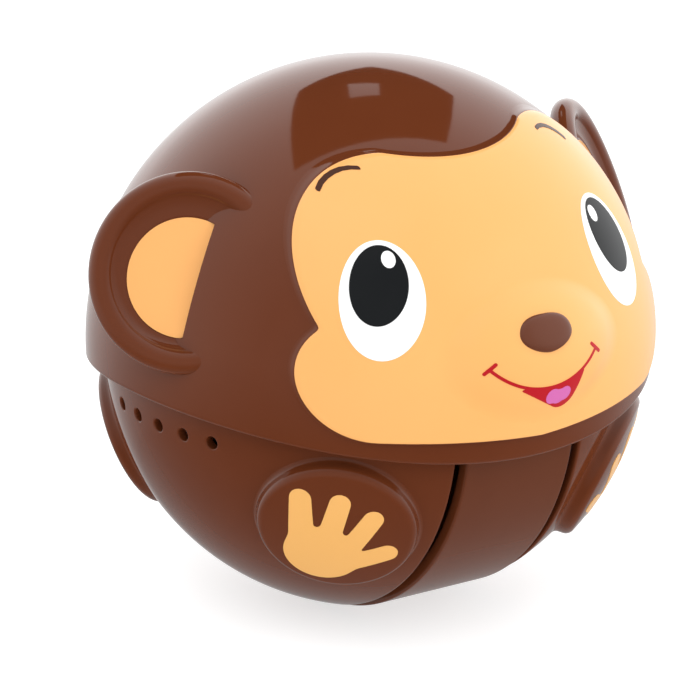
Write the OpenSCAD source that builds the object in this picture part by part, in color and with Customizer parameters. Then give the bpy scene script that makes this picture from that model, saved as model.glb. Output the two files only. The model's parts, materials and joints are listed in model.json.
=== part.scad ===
// Ball-shaped monkey on a spring-driven roller.
// Two body pods are joined by a fixed spool, and the roller turns on the spool between them.
// The head is a shell on four sprung posts; pressing it swings a hammer against a drum.
// The face looks along -Y, the toy's own left side is +X, and it stands on z = 0.

/* [Ball] */
// Outer radius of the head shell
head_r = 62; // [61.8:0.1:62.4]
// Wall of the head shell
head_wall = 2.2; // [2:0.1:2.5]
// Outer radius of the body ball
body_r = 57.8; // [57.6:0.1:58]
// Wall of the pod shells
pod_wall = 2.2; // [2:0.1:2.4]
// Height of the head's centre above the body's centre
head_lift = 1.5; // [1.3:0.1:1.8]
// Travel of the head when it is pressed
head_travel = 2.5; // [1.5:0.1:2.5]
// Height of the head's rim over its centre, at the sides
rim_side_z = -2; // [-2.5:0.1:-1.5]
// Height of the head's rim over its centre, at the front and back
rim_front_z = -10.7; // [-11:0.1:-9]

/* [Roller] */
// Radius of the roller's tread
wheel_r = 56.1; // [56:0.1:56.2]
// Half of the roller's width
wheel_half = 14.1; // [13.5:0.1:14.2]
// Gap between the roller and each pod
wheel_gap = 2.4; // [2.2:0.1:2.6]
// Wall of the roller's hoop
hoop_wall = 2.6; // [2.2:0.1:3]
// Radius of the fixed spool that the roller turns on
spool_r = 12; // [11.9:0.1:12.1]

/* [Pads] */
// Radius of each hand or foot pad
pad_r = 17.2; // [16.5:0.1:17.5]
// Height of the pads above the body ball
pad_rise = 3; // [2.5:0.1:3.2]
// Angle of the pads from the toy's front or back, about the vertical
pad_lon = 43; // [42:0.5:44]
// Angle of the pads below the body's middle
pad_lat = -25; // [-26:0.5:-24]

/* [Ears] */
// Radius of the ear ridge's centreline
ear_r = 18.8; // [18.5:0.1:19.2]
// Radius of the rounded ridge itself
ridge_r = 2.8; // [2.6:0.1:3]
// Radius of the flat inner ear
inner_ear_r = 12.9; // [12.4:0.1:13.2]

/* [Gears] */
// Gear module
gear_m = 0.8; // [0.8]
// Teeth of the gear on the roller
wheel_teeth = 48; // [48]
// Teeth of both drive pinions
pinion_teeth = 12; // [12]
// Teeth of the spring barrel's gear
barrel_teeth = 54; // [54]
// Teeth of the gear that drives the governor
transfer_teeth = 40; // [40]

/* [Hidden] */
$fn = 72;

brown = "#6f3d2a";
cream = "#ffc878";
nylon = "#e9e4d6";
steel = "#b9bcc0";
brass = "#c9a24a";
clear = 0.3;
big = 200;

// Heights, and the shift in Y that centres the whole toy on the origin
axle_z = wheel_r;
muzzle_y = -46.7;
muzzle_z = 10.5;
muzzle_r = 19.6;
muzzle_bow = 33.1;
front_reach = muzzle_r - muzzle_y;
ball_y = (front_reach - head_r) / 2;

// Pods: where their flat inner faces lie, and how high they go under the head
pod_face = wheel_half + wheel_gap;
pod_in = body_r - pod_wall;
pod_top = 5;
plate_t = 2;
plate_back = pod_face + plate_t;
plate_r = sqrt(pow(pod_in, 2) - pow(plate_back, 2)) - clear;

// Screws: one pattern of shank, pilot hole and head throughout
shank_r = 1.15;
pilot_r = 1.2;
pass_r = 1.6;
screw_head_r = 2.7;
screw_head_t = 1.8;

spool_screw_pcd_r = 8;
pod_screw_at = [22, 33];
lug_r = 4;
lug_z = [-31, -25];
pod_post_r = 3.3;
pod_screw_seat = -34;
ballast_x = 33;
ballast_z = -38.5;
ballast_y = 28;
ballast_step = 1;
ballast_screw = 6.5;
right_block_y = [-10, 22];
right_block_z = 8;
left_block_x = 35.2;
left_block_z = 13.5;

// Head posts and their sleeves on the pod plates
post_at = [27, 30];
post_r = 3;
post_clear = 0.08;
sleeve_r = 5.5;
sleeve_z = [4, 14];
pressed_spring = 9.5;
collar_z = sleeve_z[1] + pressed_spring + head_travel;
stop_gap = 0.2;

// Roller: its web and hub
web_half = 1.3;
hub_r = 14.6;
hub_half = pod_face - 0.5;
tread_bevel = 0.6;

// Spring motor: places of the arbors about the axle, as [y, z]
drive_d = gear_m * (wheel_teeth + pinion_teeth) / 2;
barrel_d = gear_m * (barrel_teeth + pinion_teeth) / 2;
governor_d = gear_m * (transfer_teeth + pinion_teeth) / 2;
drive_ang = 295;
drive_at = drive_d * [cos(drive_ang), sin(drive_ang)];
barrel_ang = acos(-drive_at[0] / barrel_d);
barrel_at = drive_at + barrel_d * [cos(barrel_ang), sin(barrel_ang)];
governor_ang = 30;
governor_at = drive_at + governor_d * [cos(governor_ang), sin(governor_ang)];
pillars_at = [[20, 21], [-8, -33], [-23.5, -12]];

wheel_gear_x = [3.5, 9];
transfer_x = [20.8, 22.4];
barrel_gear_x = [22.8, 25.6];
barrel_end_x = 30.8;
flywheel_x = [24, 28.5];
motor_x = 31.6;
motor_t = 1.5;
shaft_end_x = motor_x + motor_t + 1;
barrel_r = 17;
barrel_wall = 1.2;
arbor_r = 2;
shaft_r = 1.5;
run_clear = 0.06;
pressure = 25;
backlash = 0.1;

// Turn of each gear that puts it in mesh with the one before
drive_turn = mesh_turn(wheel_teeth, 0, pinion_teeth, drive_ang);
barrel_turn = mesh_turn(pinion_teeth, 0, barrel_teeth, barrel_ang);
governor_turn = mesh_turn(transfer_teeth, 0, pinion_teeth, governor_ang);

// Drum and hammer, in the right pod, measured on the left side and mirrored
hammer_at = [36, 8];
hammer_arm_len = 9;
hammer_drop = 17;
hammer_gap = 0.4;
hammer_arm_top = 2.8;
push_x = hammer_at[0] - hammer_arm_len;
push_r = 2.4;
push_tip_z = hammer_at[1] + hammer_arm_top + hammer_gap;
drum_r = 13;
drum_z = hammer_at[1] - hammer_drop;
drum_x = [44.9, 49.4];
skin_t = 0.5;
drum_screw_r = 15.6;

// Sound holes in the right pod
hole_r = 1.4;
hole_step = 8.1;
hole_count = 5;
hole_z = -7.5;
hole_mid = 2.6;

// Head: face step, face skin and paint, as radii on the head's ball
step_r = head_r + 0.6;
face_r = step_r + 0.5;
paint_t = 0.2;

// Face seen from the front: two lobes over the eyes with a dip between, cheeks and chin
lobe_x = 19;
lobe_z = 27.4;
lobe_r = 24.6;
lobe_slip = [-0.5, 1.3];
cheek_x = 34.5;
cheek_z = 10;
cheek_r = 13.2;
chin_z = -5;
dip_r = 101;
dip_z = 50.6;
nose_x = -0.8;
nose_y = -61.8;
nose_z = 18.2;
nose_r = 4.2;
nose_bow = 8;
smile_r = 19.4;
smile_at = [-0.9, 26];
smile_half = 0.35;
mouth_corners = [[-7.2, 6.8], [8.7, 8.6]];
mouth_at = [3.3, 4.7];
mouth_r = 3.7;
brow_half = 0.45;
print_slip = [-3, 1.3];
eye_at = [31.1, 26];
eye_half = [7.3, 12];
eye_lean = 21;
pupil_at = [31.1, 29];
pupil_half = [4.8, 8.2];
pupil_lean = 27;
glint_at = [28, 34];
glint_half = [1.6, 2.1];
glint_lean = 27;

// Ears: centre of the ridge, and the way the ear faces.
// The inner ear is a disc cut straight where it meets the head
ear_at = [54.2, -9.6, 26.4];
ear_lon = 47.4;
ear_lat = 22.3;
ear_slip = [1.1, 0.3];
ear_floor = 0;
ear_back = -3;
ear_cut = 3;
ear_cut_turn = -79;
ear_peg_r = 3;
ear_peg_end = -12;
inlay_t = 0.4;

// ---------- placing ----------

module at_body() translate([0, ball_y, axle_z]) children();
module at_head() translate([0, ball_y, axle_z + head_lift]) children();
module right_side() mirror([1, 0, 0]) children();
module both_sides() {
    children();
    right_side() children();
}
// Turns +Z to a direction given by its angle from the front and its height angle
module facing(lon, lat) rotate([0, 90 - lat, lon - 90]) children();
// Lays a flat shape in the plane across X: its x runs along Y and its y along Z
module across_x(x) translate([x, 0, 0]) rotate([90, 0, 90]) children();
module slab_x(x) across_x(x[0]) linear_extrude(x[1] - x[0]) children();
module rod_x(r, x, at = [0, 0]) translate([x[0], at[0], at[1]])
    rotate([0, 90, 0]) cylinder(r = r, h = x[1] - x[0]);
module rod_y(r, half, at = [0, 0]) translate([at[0], half, at[1]])
    rotate([90, 0, 0]) cylinder(r = r, h = 2 * half);
module rod_z(r, z, at = [0, 0]) translate([at[0], at[1], z[0]]) cylinder(r = r, h = z[1] - z[0]);
// A flat bar with round ends
module capsule(p, q, r) {
    along = atan2(q[1] - p[1], q[0] - p[0]);
    steps = 10;
    polygon([
        for (i = [0 : 2 * steps + 1])
            let (a = along + (i > steps ? -90 : 90) + 180 * (i > steps ? i - steps - 1 : i) / steps)
            (i > steps ? q : p) + polar(r, a)
    ]);
}
// Extrudes a front view, drawn in X and Z, forwards from the middle
module from_front() rotate([90, 0, 0]) linear_extrude(big) children();
// A sphere whose seam lies at the back, away from everything that is cut into it
module ball(r) rotate(90) sphere(r, $fn = 180);
module shell(outer, inner) difference() {
    ball(outer);
    ball(inner);
}
// A spindle lying along X, with a rounded side
module spindle(r, bow) rotate([0, 90, 0]) rotate_extrude($fn = 180) intersection() {
    translate([r - bow, 0]) circle(bow, $fn = 180);
    translate([0, -bow]) square([r, 2 * bow]);
}

// ---------- gears ----------

function polar(r, a) = [r * cos(a), r * sin(a)];
function roll(base, r) = sqrt(pow(r / base, 2) - 1);
function involute_angle(base, r) = roll(base, r) * 180 / PI - atan(roll(base, r));
// Turn of a gear that meshes with another one that lies in the direction ang from it
function mesh_turn(teeth_1, turn_1, teeth_2, ang) =
    ang + 180 + 180 / teeth_2 - (turn_1 - ang) * teeth_1 / teeth_2;

module gear(teeth) {
    pitch = gear_m * teeth / 2;
    base = pitch * cos(pressure);
    root = pitch - 1.25 * gear_m;
    start = max(base, root);
    half = 90 / teeth - backlash / 2 / pitch * 180 / PI + involute_angle(base, pitch);
    steps = 4;
    radii = [for (i = [0 : steps]) start + (pitch + gear_m - start) * i / steps];
    flank = [for (r = radii) [r, half - involute_angle(base, r)]];
    side = concat([[root, flank[0][1]]], flank);
    count = len(side);
    polygon([
        for (k = [0 : teeth - 1], i = [0 : 2 * count - 1])
            let (s = i < count ? side[i] : side[2 * count - 1 - i])
            polar(s[0], k * 360 / teeth + (i < count ? -s[1] : s[1]))
    ]);
}

// ---------- screws ----------

// A pan-head screw whose shank runs up +Z from the underside of its head
module screw(length, head = screw_head_r) {
    cylinder(r = shank_r, h = length);
    difference() {
        translate([0, 0, -screw_head_t]) cylinder(r = head, h = screw_head_t);
        translate([0, 0, -screw_head_t - 0.1]) for (a = [0, 90])
            rotate(a) translate([-1.4, -0.3, 0]) cube([2.8, 0.6, 0.9]);
    }
}
// A screw with a thin flat head, for the side that faces the roller
module flat_screw(length) {
    cylinder(r = shank_r, h = length);
    translate([0, 0, -0.9]) cylinder(r = 2.3, h = 0.9);
}

// ---------- body pods ----------

module pads(r, top) for (lon = [pad_lon, 180 - pad_lon])
    intersection() {
        facing(lon, pad_lat) cylinder(r = r, h = big);
        ball(top);
    }

module pod_region() translate([pod_face, -big / 2, -big]) cube([big, big, big + pod_top]);

module pod_screw_places() for (s = [-1, 1])
    translate([pod_screw_at[0], s * pod_screw_at[1], 0]) children();

module pod_shell() {
    difference() {
        union() {
            intersection() {
                difference() {
                    union() {
                        ball(body_r);
                        pads(pad_r, body_r + pad_rise);
                    }
                    ball(pod_in);
                    pads(pad_r - pod_wall, pod_in + pad_rise);
                }
                pod_region();
            }
            intersection() {
                ball(body_r - 0.2);
                pod_screw_places() rod_z(pod_post_r, [-big, lug_z[0]]);
            }
            intersection() {
                ball(body_r - 0.2);
                rod_z(3.4, [-big, ballast_z - 4], [ballast_x, 0]);
            }
        }
        pod_screw_places() rod_z(pass_r, [-big, 0]);
        pod_screw_places() rod_z(screw_head_r + 0.3, [-big, pod_screw_seat]);
        rod_z(pilot_r, [ballast_z - ballast_screw - 0.2, 0], [ballast_x, 0]);
    }
}

module drum_screw_places() for (a = [90, 210, 330])
    translate([0, drum_screw_r * cos(a), drum_z + drum_screw_r * sin(a)]) children();

module right_pod_shell() color(brown) at_body() right_side() difference() {
    union() {
        pod_shell();
        intersection() {
            ball(body_r - 0.2);
            drum_screw_places() rod_x(2.6, [drum_x[1], big]);
        }
    }
    drum_screw_places() rod_x(pilot_r, [drum_x[1] - 1, drum_x[1] + 4]);
    for (i = [0 : hole_count - 1])
        rotate([0, 0, (i - (hole_count - 1) / 2) * hole_step - hole_mid])
            rod_x(hole_r, [pod_in - 5, big], [0, hole_z]);
}

module left_pod_shell() color(brown) at_body() pod_shell();

module pod_plate() {
    difference() {
        union() {
            rod_x(plate_r, [pod_face, plate_back]);
            for (s = [-1, 1]) {
                rod_z(sleeve_r, sleeve_z, [post_at[0], s * post_at[1]]);
                translate([plate_back - 0.5, s * post_at[1] - 1.5, sleeve_z[0]])
                    cube([post_at[0] - plate_back, 3, sleeve_z[1] - sleeve_z[0]]);
            }
            pod_screw_places() rod_z(lug_r, lug_z);
        }
        for (s = [-1, 1]) rod_z(post_r + post_clear, [-big, big], [post_at[0], s * post_at[1]]);
        pod_screw_places() rod_z(pilot_r, [lug_z[0] - 1, lug_z[1] + 1]);
        spool_screw_places() rod_x(pass_r, [0, big]);
        rod_x(big, [0, pod_face]);
    }
}

module left_pod_plate() color(nylon) at_body() difference() {
    pod_plate();
    rod_x(shaft_r + run_clear, [0, big], drive_at);
    rod_x(shaft_r + run_clear, [0, big], governor_at);
    rod_x(arbor_r, [0, big], barrel_at);
    for (p = pillars_at) rod_x(pass_r, [0, big], p);
}

module right_pod_plate() color(nylon) at_body() right_side() difference() {
    union() {
        pod_plate();
        for (s = [-1, 1]) translate([plate_back - 0.5, s * 7 - 1, hammer_at[1] - 4])
            cube([hammer_at[0] + 3 - plate_back, 2, 8]);
    }
    rod_y(1.02, 20, hammer_at);
}

module spool_screw_places() for (a = [90, 210, 330])
    translate([0, spool_screw_pcd_r * cos(a), spool_screw_pcd_r * sin(a)]) children();

module hub_spool() color(nylon) at_body() difference() {
    rod_x(spool_r, [-pod_face, pod_face]);
    rod_x(3.4, [-big, big]);
    both_sides() spool_screw_places() rod_x(pilot_r, [pod_face - 10, big]);
}

module spool_screws() color(steel) at_body() both_sides() spool_screw_places()
    translate([plate_back, 0, 0]) rotate([0, -90, 0]) screw(9);

module pod_screws() color(steel) at_body() both_sides() pod_screw_places()
    translate([0, 0, pod_screw_seat]) screw(lug_z[1] - pod_screw_seat - 0.5);

module ballast() difference() {
    intersection() {
        ball(pod_in - clear);
        union() {
            translate([24, -ballast_y, -big]) cube([30, 2 * ballast_y, big + ballast_z]);
            translate([plate_back + 1, -ballast_y, -big])
                cube([10, 2 * ballast_y, big + ballast_z - ballast_step]);
            children();
        }
    }
    rod_z(3.8, [-big, ballast_z - 3.5], [ballast_x, 0]);
    rod_z(pass_r, [-big, 0], [ballast_x, 0]);
    rod_z(screw_head_r + 0.8, [ballast_z, 0], [ballast_x, 0]);
}
// A block on top of each one balances the motor, the face in front and the drum
module left_ballast() color("dimgray") at_body() ballast()
    translate([left_block_x, -ballast_y, ballast_z - 1]) cube([20, 2 * ballast_y, left_block_z + 1]);
module right_ballast() color("dimgray") at_body() right_side() ballast()
    translate([24, right_block_y[0], ballast_z - 1])
        cube([30, right_block_y[1] - right_block_y[0], right_block_z + 1]);
module ballast_screws() color(steel) at_body() both_sides()
    translate([ballast_x, 0, ballast_z]) mirror([0, 0, 1]) screw(ballast_screw);

// ---------- prints on the pads ----------

// Shapes are drawn with x towards the roller and y upwards
module hand_outline() {
    translate([-3.2, -5.4]) circle(8.2);
    capsule([-7.2, -2], [-7, 10], 2.4);
    capsule([-2.5, -4], [1.5, 9.4], 2.3);
    capsule([1, -6], [8.4, 5.2], 2.2);
    capsule([0, -8.5], [10.8, -4.8], 2.3);
}
module foot_outline() {
    capsule([-1, -8], [0.5, 1], 5.4);
    capsule([-3.5, 2], [-6.6, 9], 2);
    capsule([-0.5, 3], [-1.2, 11.2], 2);
    capsule([2.5, 2.5], [4, 10.4], 2);
    capsule([3, -3], [9.6, 4], 2.3);
}
module print_on_pad(lon, flip) intersection() {
    facing(lon, pad_lat) rotate(90) mirror([flip, 0]) linear_extrude(big) children();
    shell(body_r + pad_rise + paint_t, body_r + pad_rise);
}
module hand_prints() color(cream) at_body() both_sides() print_on_pad(pad_lon, 1) hand_outline();
module foot_prints() color(cream) at_body() both_sides() print_on_pad(180 - pad_lon, 0) foot_outline();

// ---------- drum and hammer ----------

module drum_cup() color(steel) at_body() right_side() difference() {
    union() {
        rod_x(drum_r, drum_x, [0, drum_z]);
        drum_screw_places() rod_x(2.6, [drum_x[1] - 1.2, drum_x[1]]);
        for (a = [90, 210, 330]) translate([drum_x[1] - 1.2, 0, drum_z])
            rotate([a, 0, 0]) translate([0, 0, -2.6]) cube([1.2, drum_screw_r, 5.2]);
    }
    rod_x(drum_r - 1.2, [drum_x[0] - 1, drum_x[1] + 1], [0, drum_z]);
    drum_screw_places() rod_x(pass_r, [0, big]);
}
module drum_skin() color("gainsboro") at_body() right_side()
    rod_x(drum_r, [drum_x[0] - skin_t, drum_x[0]], [0, drum_z]);
module drum_screws() color(steel) at_body() right_side() drum_screw_places()
    translate([drum_x[1] - 1.2, 0, 0]) rotate([0, 90, 0]) screw(4.5, 2.2);

module hammer_pin() color(steel) at_body() right_side() rod_y(1, 8.4, hammer_at);
module hammer_arm() color(nylon) at_body() right_side() difference() {
    union() {
        rod_y(3, 4, hammer_at);
        translate([push_x - 2.5, -2.5, hammer_at[1] + 1])
            cube([hammer_arm_len + 2.5, 5, hammer_arm_top - 1]);
        translate([hammer_at[0] - 1.2, -2.5, drum_z - 2]) cube([2.4, 5, hammer_drop]);
    }
    rod_y(1 + run_clear, 20, hammer_at);
}
module hammer_head() color(brass) at_body() right_side()
    translate([hammer_at[0] + 1.2, 0, drum_z]) rotate([0, 90, 0]) {
        cylinder(r = 3.6, h = 1.2);
        translate([0, 0, 1.2]) cylinder(r1 = 3.6, r2 = 2.2, h = 0.8);
    }
module hammer_spring() color(steel) at_body() right_side()
    translate([hammer_at[0], 4.35, hammer_at[1]]) rotate([-90, 0, 0]) coil(1.7, 0.18, 1.2, 2, 16);

// ---------- springs ----------

// A helical coil of round wire standing on z = 0
module coil(mean_r, wire_r, height, turns, per_turn) {
    sides = 6;
    rings = turns * per_turn;
    slope = atan2(height / turns, 2 * PI * mean_r);
    points = [
        for (i = [0 : rings], s = [0 : sides - 1])
            let (
                a = 360 * i / per_turn,
                w = 360 * s / sides,
                out = mean_r + wire_r * cos(w),
                up = wire_r * sin(w),
                mid = wire_r + height * i / rings
            )
            [out * cos(a) + up * sin(slope) * sin(a),
             out * sin(a) - up * sin(slope) * cos(a),
             mid + up * cos(slope)]
    ];
    walls = [
        for (i = [0 : rings - 1], s = [0 : sides - 1])
            let (p = i * sides + s, q = i * sides + (s + 1) % sides)
            each [[p, p + sides, q + sides], [p, q + sides, q]]
    ];
    first = [for (s = [0 : sides - 1]) s];
    last = [for (s = [0 : sides - 1]) rings * sides + sides - 1 - s];
    polyhedron(points, concat(walls, [first, last]));
}

module head_springs() color(steel) at_body() both_sides() for (s = [-1, 1])
    translate([post_at[0], s * post_at[1], sleeve_z[1] + 0.05])
        coil(4.3, 0.55, collar_z - sleeve_z[1] - 1.2, 4, 10);

// ---------- spring motor ----------

module motor_outline() hull() {
    for (p = pillars_at) translate(p) circle(5, $fn = 32);
    translate(governor_at) circle(5, $fn = 32);
}
module motor_plate() color(steel) at_body() difference() {
    slab_x([motor_x, motor_x + motor_t]) motor_outline();
    for (p = pillars_at) rod_x(pass_r, [0, big], p);
    rod_x(shaft_r + run_clear, [0, big], drive_at);
    rod_x(shaft_r + run_clear, [0, big], governor_at);
    rod_x(arbor_r, [0, big], barrel_at);
    for (s = [-1, 1])
        rod_z(sleeve_r + 0.8, [sleeve_z[0] - 1, sleeve_z[1] + 1], [post_at[0], s * post_at[1]]);
}
module motor_pillars() color(nylon) at_body() for (p = pillars_at) difference() {
    rod_x(2.5, [plate_back, motor_x], p);
    rod_x(pilot_r, [0, big], p);
}
module motor_screws() color(steel) at_body() for (p = pillars_at) {
    translate([pod_face, p[0], p[1]]) rotate([0, 90, 0]) flat_screw(6.5);
    translate([motor_x + motor_t, p[0], p[1]]) rotate([0, -90, 0]) screw(5.5, 2.4);
}
module spring_arbor() color(steel) at_body() rod_x(arbor_r, [pod_face + 0.2, shaft_end_x], barrel_at);

module on_arbor() difference() {
    children();
    rod_x(arbor_r + run_clear, [0, big], barrel_at);
}
module spring_barrel() color(brass) at_body() on_arbor() {
    translate([0, barrel_at[0], barrel_at[1]]) {
        slab_x(barrel_gear_x) rotate(barrel_turn) gear(barrel_teeth);
        difference() {
            rod_x(barrel_r, [barrel_gear_x[1] - 0.1, barrel_end_x - 0.8]);
            rod_x(barrel_r - barrel_wall, [barrel_gear_x[1], big]);
        }
    }
}
module barrel_cap() color(steel) at_body() on_arbor()
    rod_x(barrel_r, [barrel_end_x - 0.8, barrel_end_x], barrel_at);

module mainspring() color("slategray") at_body() {
    turns = 7;
    per_turn = 20;
    thick = 0.4;
    inner = arbor_r + 0.5;
    pitch = (barrel_r - barrel_wall - thick - 0.3 - inner) / turns;
    turn_at = [for (i = [0 : turns * per_turn]) i / per_turn];
    translate([0, barrel_at[0], barrel_at[1]]) slab_x([barrel_gear_x[1] + 0.2, barrel_end_x - 1])
        polygon(concat(
            [for (t = turn_at) polar(inner + pitch * t, 360 * t)],
            [for (i = [len(turn_at) - 1 : -1 : 0])
                polar(inner + thick + pitch * turn_at[i], 360 * turn_at[i])]
        ));
}

module drive_shaft() color(steel) at_body() rod_x(shaft_r, [wheel_gear_x[0] - 0.7, shaft_end_x], drive_at);
module pinion(x, at, turn) difference() {
    translate([0, at[0], at[1]]) slab_x(x) rotate(turn) gear(pinion_teeth);
    rod_x(shaft_r, [0, big], at);
}
module drive_pinion() color(brass) at_body()
    pinion([wheel_gear_x[0] - 0.5, wheel_gear_x[1] + 0.5], drive_at, drive_turn);
module barrel_pinion() color(brass) at_body()
    pinion([barrel_gear_x[0] - 0.2, barrel_gear_x[1] + 0.2], drive_at, 0);
module transfer_gear() color(nylon) at_body() difference() {
    translate([0, drive_at[0], drive_at[1]]) slab_x(transfer_x) gear(transfer_teeth);
    rod_x(shaft_r, [0, big], drive_at);
    for (a = [0 : 60 : 300]) rod_x(3.4, [0, big], drive_at + polar(9.5, a));
}
module governor_shaft() color(steel) at_body()
    rod_x(shaft_r, [pod_face + 0.2, shaft_end_x], governor_at);
module governor_pinion() color(brass) at_body()
    pinion([transfer_x[0] - 0.2, transfer_x[1] + 0.2], governor_at, governor_turn);
module flywheel() color(steel) at_body() difference() {
    rod_x(7.5, flywheel_x, governor_at);
    rod_x(shaft_r, [0, big], governor_at);
    difference() {
        rod_x(5.8, [flywheel_x[0] + 1.5, big], governor_at);
        rod_x(3, [0, big], governor_at);
    }
}

// ---------- roller ----------

module drive_wheel() color(brown) at_body() difference() {
    rotate([0, 90, 0]) rotate_extrude($fn = 120) polygon([
        [spool_r + run_clear, -hub_half],
        [hub_r, -hub_half],
        [hub_r, -web_half],
        [wheel_r - hoop_wall, -web_half],
        [wheel_r - hoop_wall, -wheel_half],
        [wheel_r - tread_bevel, -wheel_half],
        [wheel_r, -wheel_half + tread_bevel],
        [wheel_r, wheel_half - tread_bevel],
        [wheel_r - tread_bevel, wheel_half],
        [wheel_r - hoop_wall, wheel_half],
        [wheel_r - hoop_wall, web_half],
        [hub_r, web_half],
        [hub_r, hub_half],
        [spool_r + run_clear, hub_half]
    ]);
    for (a = [30 : 60 : 330]) rod_x(8, [-5, 5], polar(38, a));
}
module wheel_gear() color(nylon) at_body() difference() {
    union() {
        slab_x(wheel_gear_x) gear(wheel_teeth);
        rod_x(17.5, [web_half, wheel_gear_x[0]]);
    }
    rod_x(hub_r, [0, big]);
}

// ---------- head ----------

// Front views, in X and Z from the head's centre
module face_outline() {
    difference() {
        union() {
            translate([-lobe_x, lobe_z]) circle(lobe_r, $fn = 120);
            translate([lobe_x, lobe_z] + lobe_slip) circle(lobe_r, $fn = 120);
            polygon([
                [-lobe_x, lobe_z - lobe_r],
                [lobe_x, lobe_z - lobe_r],
                [lobe_x, lobe_z + lobe_r] + lobe_slip,
                [-lobe_x, lobe_z + lobe_r]
            ]);
        }
        translate([0, dip_z + dip_r]) circle(dip_r, $fn = 240);
    }
    for (s = [-1, 1]) translate([s * cheek_x, cheek_z]) circle(cheek_r, $fn = 120);
    polygon([
        [-cheek_x, cheek_z],
        [-cheek_x, cheek_z - cheek_r],
        [0, chin_z],
        [cheek_x, cheek_z - cheek_r],
        [cheek_x, cheek_z]
    ]);
}
module oval(half) polygon([for (a = [0 : 7.5 : 352.5]) [half[0] * cos(a), half[1] * sin(a)]]);
// Both sides of the face; the far-side print sits a little nearer the middle and higher
module both_prints() for (side = [[-1, [0, 0]], [1, print_slip]])
    translate(side[1]) mirror([side[0] < 0 ? 1 : 0, 0]) children();
module eye_outline() both_prints() translate(eye_at) rotate(eye_lean) oval(eye_half);
module pupil_outline() both_prints() translate(pupil_at) rotate(pupil_lean) oval(pupil_half);
module glint_outline() both_prints() translate(glint_at) rotate(glint_lean) oval(glint_half);
module brow_outline() both_prints() {
    capsule([33.6, 45.8], [31, 48], brow_half);
    capsule([31, 48], [27.9, 49.4], brow_half);
    capsule([27.9, 49.4], [24.9, 49.7], brow_half);
}

module muzzle(grow = 0) translate([0, muzzle_y, muzzle_z]) spindle(muzzle_r + grow, muzzle_bow + grow);

module rim_cut() {
    drop = rim_side_z - rim_front_z;
    r = (pow(head_r, 2) + pow(drop, 2)) / (2 * drop);
    translate([-big / 2, 0, rim_side_z - r]) rotate([0, 90, 0]) cylinder(r = r, h = big, $fn = 360);
}

module ear_frame() translate(ear_at) facing(ear_lon, ear_lat) children();
// The inner ear sits a little low in the ridge
module inner_ear_outline(shrink = 0) translate(ear_slip) intersection() {
    circle(inner_ear_r - shrink);
    rotate(ear_cut_turn) translate([ear_cut - shrink - big, -big / 2]) square([big, big]);
}
// The straight-sided pocket in the head that the inner ear fills
module ear_pocket() ear_frame() translate([0, 0, ear_back]) linear_extrude(20) inner_ear_outline();

module post_places() for (x = [-1, 1], y = [-1, 1])
    translate([x * post_at[0], y * post_at[1], -head_lift]) children();

module head_shell() color(brown) at_head() difference() {
    union() {
        difference() {
            union() {
                ball(head_r);
                intersection() {
                    ball(step_r);
                    from_front() face_outline();
                }
            }
            ball(head_r - head_wall);
            rim_cut();
        }
        intersection() {
            ball(head_r - 0.5);
            union() {
                post_places() rod_z(sleeve_r, [collar_z, big]);
                post_places() rod_z(post_r, [sleeve_z[0] - stop_gap, big]);
                translate([-push_x, 0, push_tip_z - head_lift]) {
                    cylinder(r1 = 0.6, r2 = push_r, h = 2);
                    translate([0, 0, 2]) cylinder(r = push_r, h = big);
                }
            }
        }
    }
    post_places() rod_z(pilot_r, [0, sleeve_z[0] + 9]);
    both_sides() ear_pocket();
    both_sides() ear_frame() rod_z(ear_peg_r + 0.05, [ear_peg_end - 4, 0]);
}

module face_plate() color(cream) at_head() difference() {
    union() {
        intersection() {
            ball(face_r);
            from_front() face_outline();
        }
        muzzle();
    }
    ball(step_r);
    translate([0, big / 2 - 30, 0]) cube(big, center = true);
}
// A thin layer of paint on the face, with the given front view
module on_face(layer = 0) intersection() {
    from_front() children();
    shell(face_r + (layer + 1) * paint_t, face_r + layer * paint_t);
}
module eye_whites() color("white") at_head() on_face() eye_outline();
module pupils() color("#15171a") at_head() on_face(1) pupil_outline();
module eye_glints() color("white") at_head() on_face(2) glint_outline();
module brows() color("#4a2418") at_head() on_face() brow_outline();
module nose() color("#5a2c1c") at_head() difference() {
    translate([nose_x, nose_y, nose_z]) spindle(nose_r, nose_bow);
    muzzle();
    ball(face_r);
}

module smile_disc(grow) translate(smile_at) circle(smile_r + grow, $fn = 120);
module open_mouth() difference() {
    hull() {
        translate(mouth_at) circle(mouth_r, $fn = 48);
        for (p = mouth_corners) translate(p) circle(0.2, $fn = 12);
    }
    smile_disc(-smile_half);
}
module tongue_outline() {
    translate([0.5, 4.3]) circle(1.75, $fn = 36);
    translate([2.1, 4]) circle(1.75, $fn = 36);
    translate([3.7, 4.4]) circle(1.65, $fn = 36);
}
module mouth_outline() {
    difference() {
        intersection() {
            smile_disc(smile_half);
            translate([smile_at[0] - 15, 0]) square([30, 12.3]);
        }
        smile_disc(-smile_half);
    }
    open_mouth();
    capsule([-13.2, 13.2], [-15.5, 11.3], 0.4);
    capsule([11.5, 13.6], [14.2, 11.3], 0.4);
}
module on_muzzle() intersection() {
    from_front() children();
    difference() {
        muzzle(paint_t);
        muzzle();
        ball(face_r);
    }
}
module mouth() color("#c41a26") at_head() on_muzzle() difference() {
    mouth_outline();
    tongue_outline();
}
module tongue() color("#e46cba") at_head() on_muzzle() tongue_outline();

// ---------- ears ----------

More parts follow.
